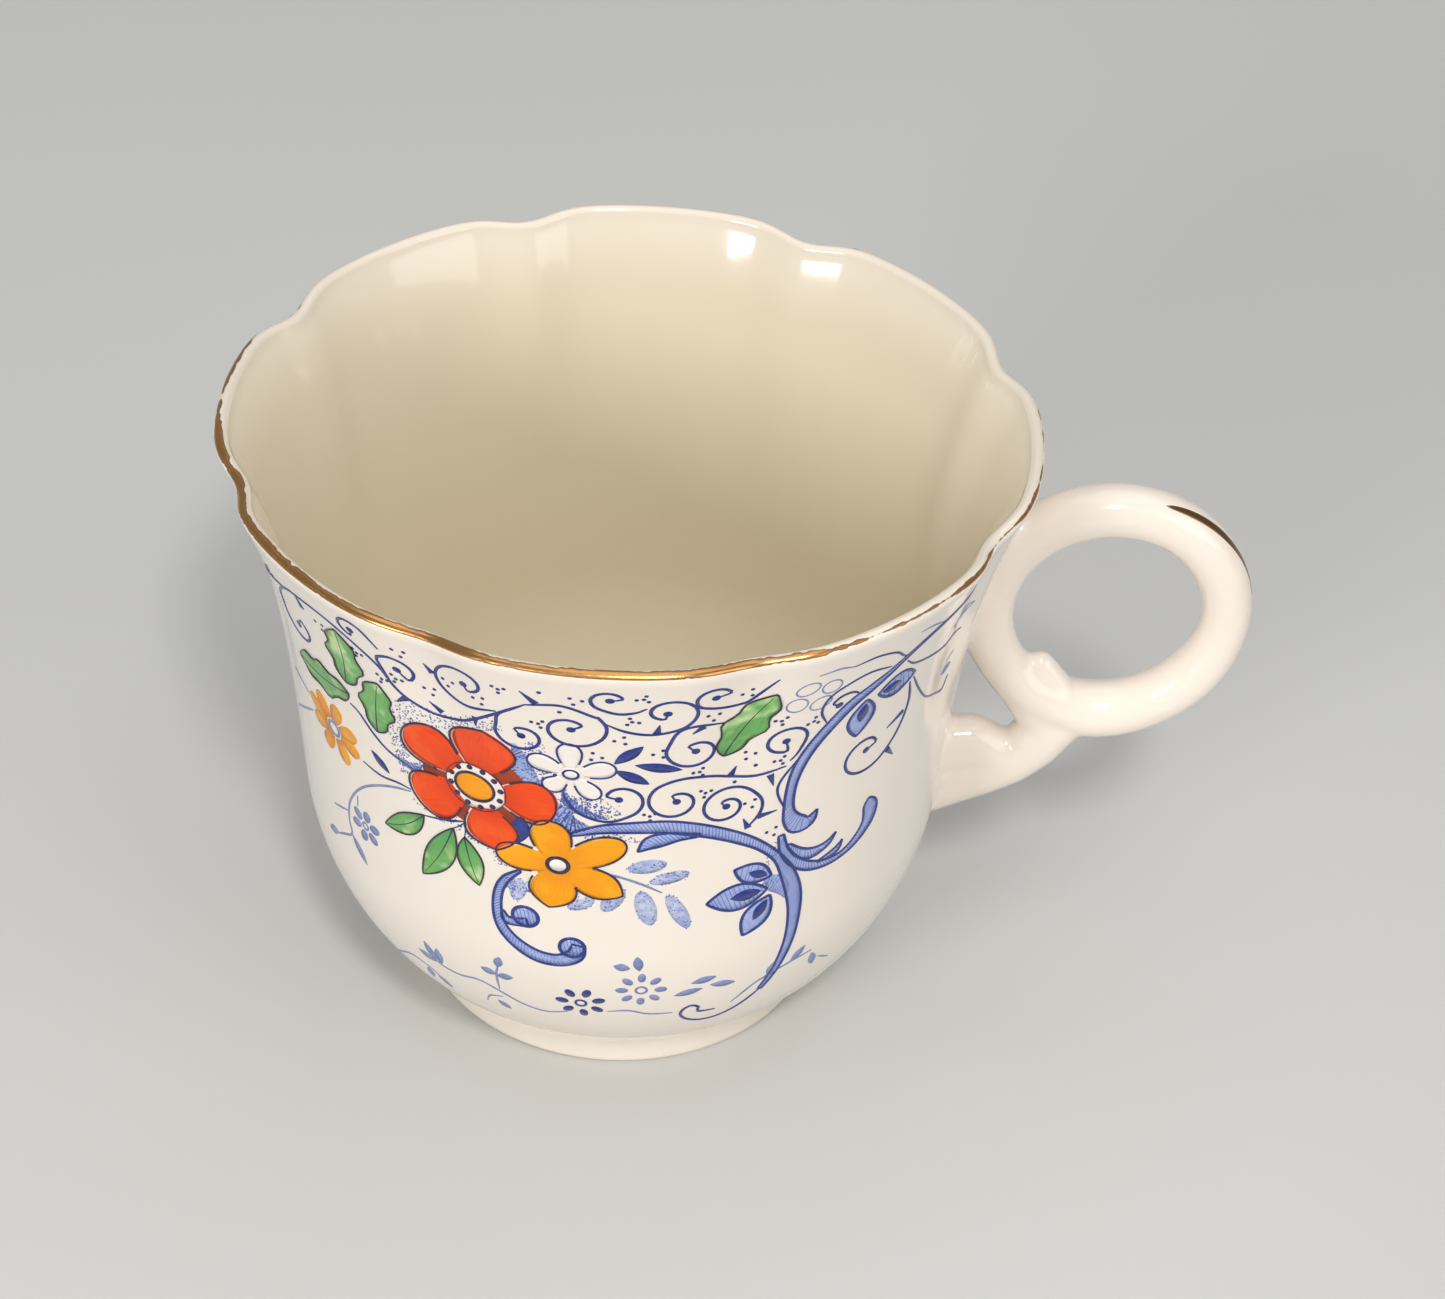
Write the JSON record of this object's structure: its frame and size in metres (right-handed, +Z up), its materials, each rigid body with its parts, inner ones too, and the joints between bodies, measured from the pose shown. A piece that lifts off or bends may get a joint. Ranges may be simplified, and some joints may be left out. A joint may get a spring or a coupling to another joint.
{
  "type": "teacup",
  "caption": "Teacup with a scalloped, gilded rim, a turned foot ring and a ring handle with a lower arm, printed and enamelled with flowers and scrolls.",
  "frame": {"origin": "middle of the underside of the whole cup's box, level with the table the foot stands on", "axes": "+X along the cup's length towards the handle, +Z up; the bowl's own axis is upright at x = -12.05 mm, y = 0"},
  "size_m": [0.1088, 0.0846, 0.0704],
  "materials": {
    "bowl_glaze": "clear gloss glaze over cream bone china",
    "handle_glaze": "clear gloss glaze over cream bone china",
    "gilding": "burnished gold line, worn",
    "blue_print": "blue transfer print under the glaze",
    "red_enamel": "gloss enamel over the glaze",
    "yellow_enamel": "gloss enamel over the glaze",
    "green_enamel": "gloss enamel over the glaze"
  },
  "bodies": {
    "root": {"bowl": "bowl_glaze", "foot_ring": "bowl_glaze", "finger_ring": "handle_glaze", "lower_arm": "handle_glaze"}
  },
  "joints": []
}
